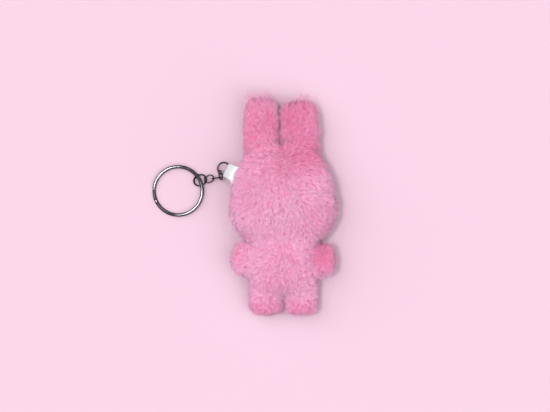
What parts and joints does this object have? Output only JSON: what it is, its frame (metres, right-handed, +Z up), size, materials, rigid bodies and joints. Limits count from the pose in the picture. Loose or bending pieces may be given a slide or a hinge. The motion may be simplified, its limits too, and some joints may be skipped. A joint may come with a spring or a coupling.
{
  "type": "plush rabbit keychain",
  "caption": "Small stuffed rabbit in long-pile fur fabric with a satin ribbon, short chain and flat split key ring.",
  "frame": {"origin": "on the flat patch under the face that the toy rests on, below the middle of the head", "axes": "+Y along the toy towards the ears, +Z up through the back of the head, +X away from the key ring's side"},
  "size_m": [0.1064, 0.1247, 0.038],
  "materials": {
    "fur": "long soft pile, brushed and slightly clumped",
    "limb_fur": "long soft pile, a deeper pink",
    "stuffing": "loose white polyester fibre",
    "bead": "polished black",
    "washer": "moulded white",
    "thread": "satin-stitched embroidery thread",
    "satin": "woven satin ribbon with a soft sheen",
    "nickel": "bright nickel plate"
  },
  "bodies": {
    "head": {"head_fur_back": "fur", "head_fur_front": "fur", "head_stuffing": "stuffing", "eye_left": "bead", "eye_right": "bead", "eye_washer_left": "washer", "eye_washer_right": "washer", "nose": "thread", "ribbon_tail": "satin"},
    "torso": {"torso_fur_back": "fur", "torso_fur_front": "fur", "torso_stuffing": "stuffing"},
    "ear_left": {"ear_left_fur_back": "limb_fur", "ear_left_fur_front": "limb_fur", "ear_left_stuffing": "stuffing"},
    "ear_right": {"ear_right_fur_back": "limb_fur", "ear_right_fur_front": "limb_fur", "ear_right_stuffing": "stuffing"},
    "arm_left": {"arm_left_fur_back": "limb_fur", "arm_left_fur_front": "limb_fur", "arm_left_stuffing": "stuffing"},
    "arm_right": {"arm_right_fur_back": "limb_fur", "arm_right_fur_front": "limb_fur", "arm_right_stuffing": "stuffing"},
    "leg_left": {"leg_left_fur_back": "limb_fur", "leg_left_fur_front": "limb_fur", "leg_left_stuffing": "stuffing"},
    "leg_right": {"leg_right_fur_back": "limb_fur", "leg_right_fur_front": "limb_fur", "leg_right_stuffing": "stuffing"},
    "ribbon": {"ribbon_loop": "satin"},
    "ribbon_ring": {"ribbon_jump_ring": "nickel"},
    "link_1": {"chain_link_1": "nickel"},
    "link_2": {"chain_link_2": "nickel"},
    "link_3": {"chain_link_3": "nickel"},
    "end_ring": {"end_jump_ring": "nickel"},
    "key_ring": {"split_ring": "nickel"}
  },
  "joints": [
    {"name": "neck_bend", "type": "hinge", "parent": "head", "child": "torso", "pos_m": [0, -0.0223, 0.0135], "axis": [1, 0, 0], "range_deg": [-12, 15], "stiffness_Nm_per_rad": 0.02},
    {"name": "ear_left_fold", "type": "hinge", "parent": "head", "child": "ear_left", "pos_m": [-0.01154, 0.03721, 0.0134], "axis": [1, 0, 0], "range_deg": [-35, 50], "stiffness_Nm_per_rad": 0.004},
    {"name": "ear_right_fold", "type": "hinge", "parent": "head", "child": "ear_right", "pos_m": [0.00924, 0.03721, 0.0134], "axis": [1, 0, 0], "range_deg": [-35, 50], "stiffness_Nm_per_rad": 0.004},
    {"name": "arm_left_swing", "type": "hinge", "parent": "torso", "child": "arm_left", "pos_m": [-0.021, -0.0317, 0.013], "axis": [0, 1, 0], "range_deg": [-20, 20], "stiffness_Nm_per_rad": 0.003},
    {"name": "arm_right_swing", "type": "hinge", "parent": "torso", "child": "arm_right", "pos_m": [0.0216, -0.0322, 0.013], "axis": [0, 1, 0], "range_deg": [-20, 20], "stiffness_Nm_per_rad": 0.003},
    {"name": "leg_left_swing", "type": "hinge", "parent": "torso", "child": "leg_left", "pos_m": [-0.0097, -0.054, 0.009], "axis": [1, 0, 0], "range_deg": [-15, 20], "stiffness_Nm_per_rad": 0.003},
    {"name": "leg_right_swing", "type": "hinge", "parent": "torso", "child": "leg_right", "pos_m": [0.0102, -0.054, 0.009], "axis": [1, 0, 0], "range_deg": [-15, 20], "stiffness_Nm_per_rad": 0.003},
    {"name": "ribbon_flex", "type": "hinge", "parent": "head", "child": "ribbon", "pos_m": [-0.0276, 0.0174, 0.0145], "axis": [0.4848, 0.8746, 0], "range_deg": [-6, 60], "stiffness_Nm_per_rad": 0.002},
    {"name": "ribbon_ring_swing", "type": "hinge", "parent": "ribbon", "child": "ribbon_ring", "pos_m": [-0.03213, 0.01989, 0.00592], "axis": [0.4848, 0.8746, 0], "range_deg": [-30, 40]},
    {"name": "link_1_swing", "type": "hinge", "parent": "ribbon_ring", "child": "link_1", "pos_m": [-0.03761, 0.01969, 0.00467], "axis": [-0.3985, 0.8929, -0.2094], "range_deg": [-40, 3]},
    {"name": "link_2_swing", "type": "hinge", "parent": "link_1", "child": "link_2", "pos_m": [-0.03676, 0.01581, 0.00329], "axis": [0.2764, -0.886, 0.3723], "range_deg": [-40, 40]},
    {"name": "link_3_swing", "type": "hinge", "parent": "link_2", "child": "link_3", "pos_m": [-0.04111, 0.01531, 0.00423], "axis": [-0.5311, -0.1046, -0.8408], "range_deg": [-40, 40]},
    {"name": "end_ring_swing", "type": "hinge", "parent": "link_3", "child": "end_ring", "pos_m": [-0.04545, 0.01564, 0.00344], "axis": [-0.4649, -0.8301, -0.308], "range_deg": [-10, 40]},
    {"name": "key_ring_swing", "type": "hinge", "parent": "end_ring", "child": "key_ring", "pos_m": [-0.0482, 0.0144, 0.00248], "axis": [0.231, -0.4769, -0.848], "range_deg": [-30, 60]}
  ]
}
